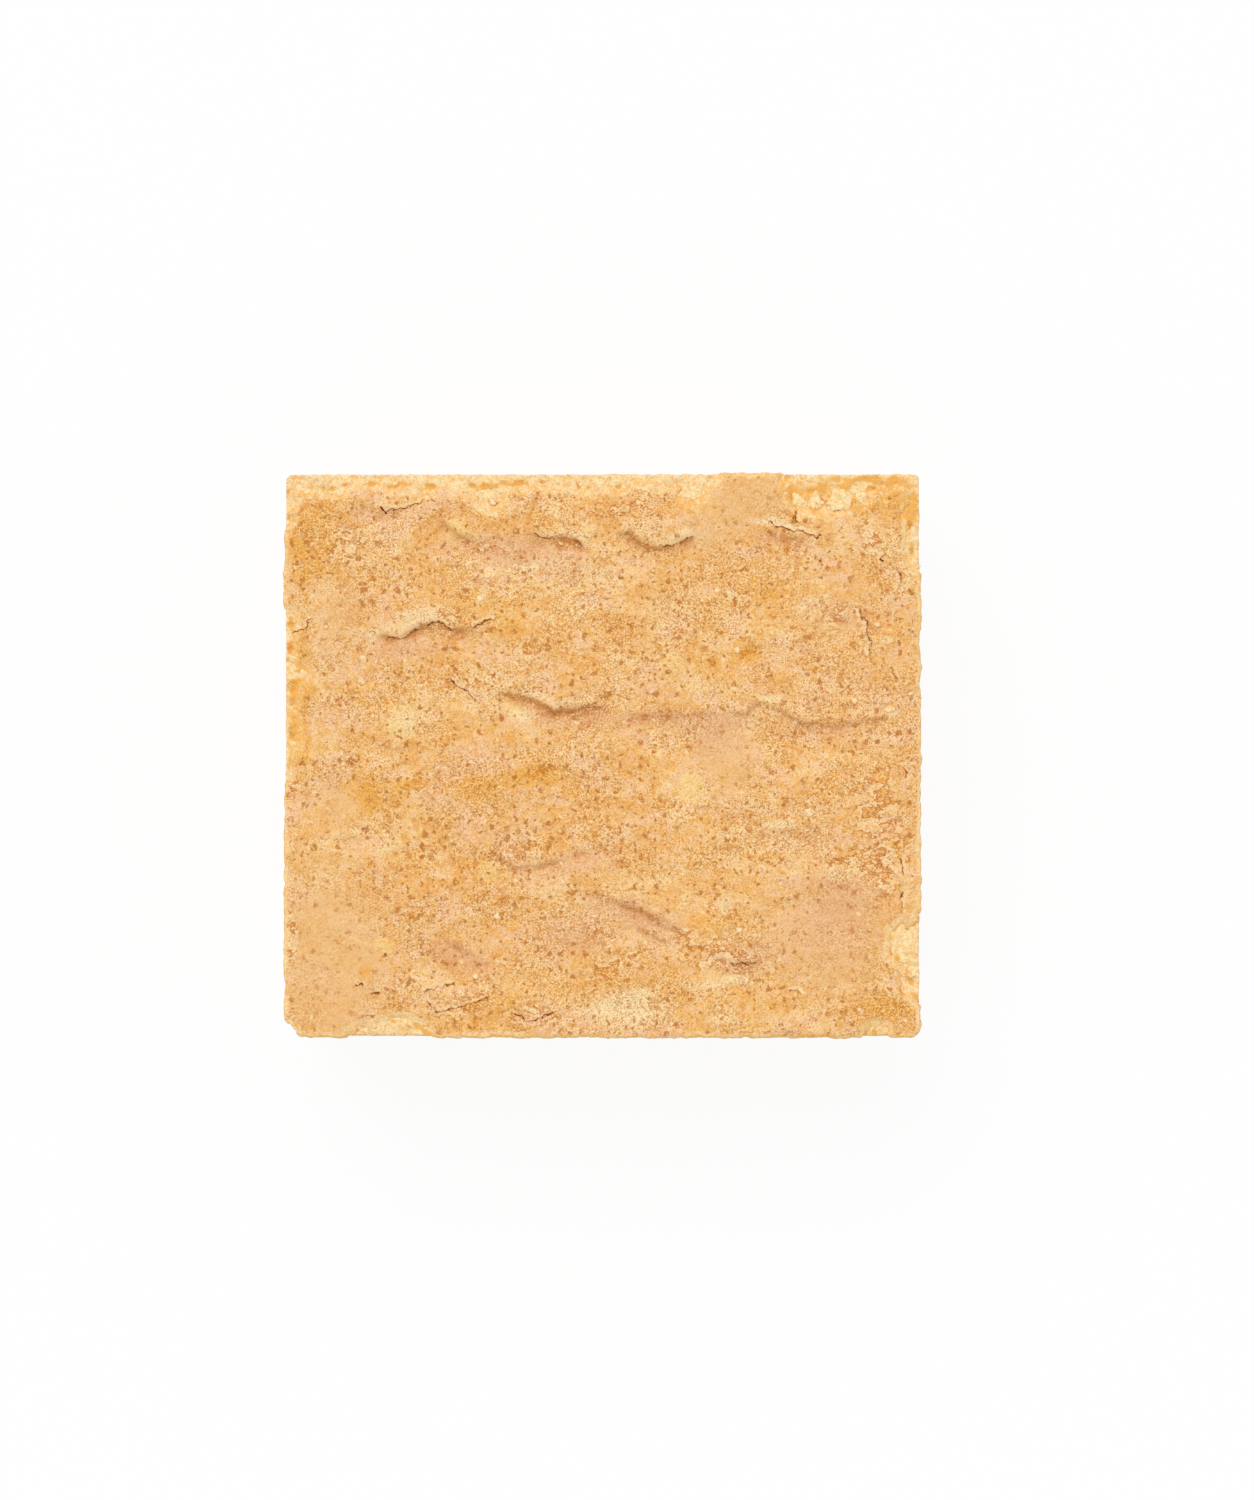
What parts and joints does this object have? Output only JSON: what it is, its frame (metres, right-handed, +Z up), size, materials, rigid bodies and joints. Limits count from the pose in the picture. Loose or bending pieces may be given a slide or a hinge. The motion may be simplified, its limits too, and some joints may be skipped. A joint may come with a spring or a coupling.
{
  "type": "gymnastics chalk block",
  "caption": "Hand-held rectangular block with a crumbly core under a freckled golden-tan crust, pale lumps and a broken, flaking rim; rubbed on the hands for grip.",
  "frame": {"origin": "centre of the resting face, at the foot of the block", "axes": "+Z up through the thickness, out of the wrinkled face; +X along the longer side; +Y towards the back edge, where most of the crust is broken"},
  "size_m": [0.0572, 0.0508, 0.0254],
  "materials": {
    "core": "matte, crumbly",
    "top_crust": "matte, wrinkled and freckled",
    "base_crust": "matte, finely pitted",
    "lump": "smooth, slightly waxy",
    "flake": "matte, brittle",
    "crumb": "matte, crumbly",
    "grain": "matte"
  },
  "bodies": {
    "root": {"base_crust": "base_crust", "chunk_right": "flake", "crumb_core": "core", "crumbs_back": "crumb", "crumbs_corner": "crumb", "crumbs_front": "crumb", "crumbs_left": "crumb", "flake_back_left": "flake", "flake_back_middle": "flake", "flake_corner_large": "flake", "flake_corner_left": "flake", "flake_corner_middle": "flake", "flake_corner_small": "flake", "flake_left": "flake", "lump_back_left": "lump", "lump_centre_back": "lump", "lump_centre_left": "lump", "lump_centre_right": "lump", "lump_front_left": "lump", "lump_left": "lump", "lump_left_front": "lump", "lump_right": "lump", "surface_grains": "grain", "top_crust": "top_crust"}
  },
  "joints": []
}
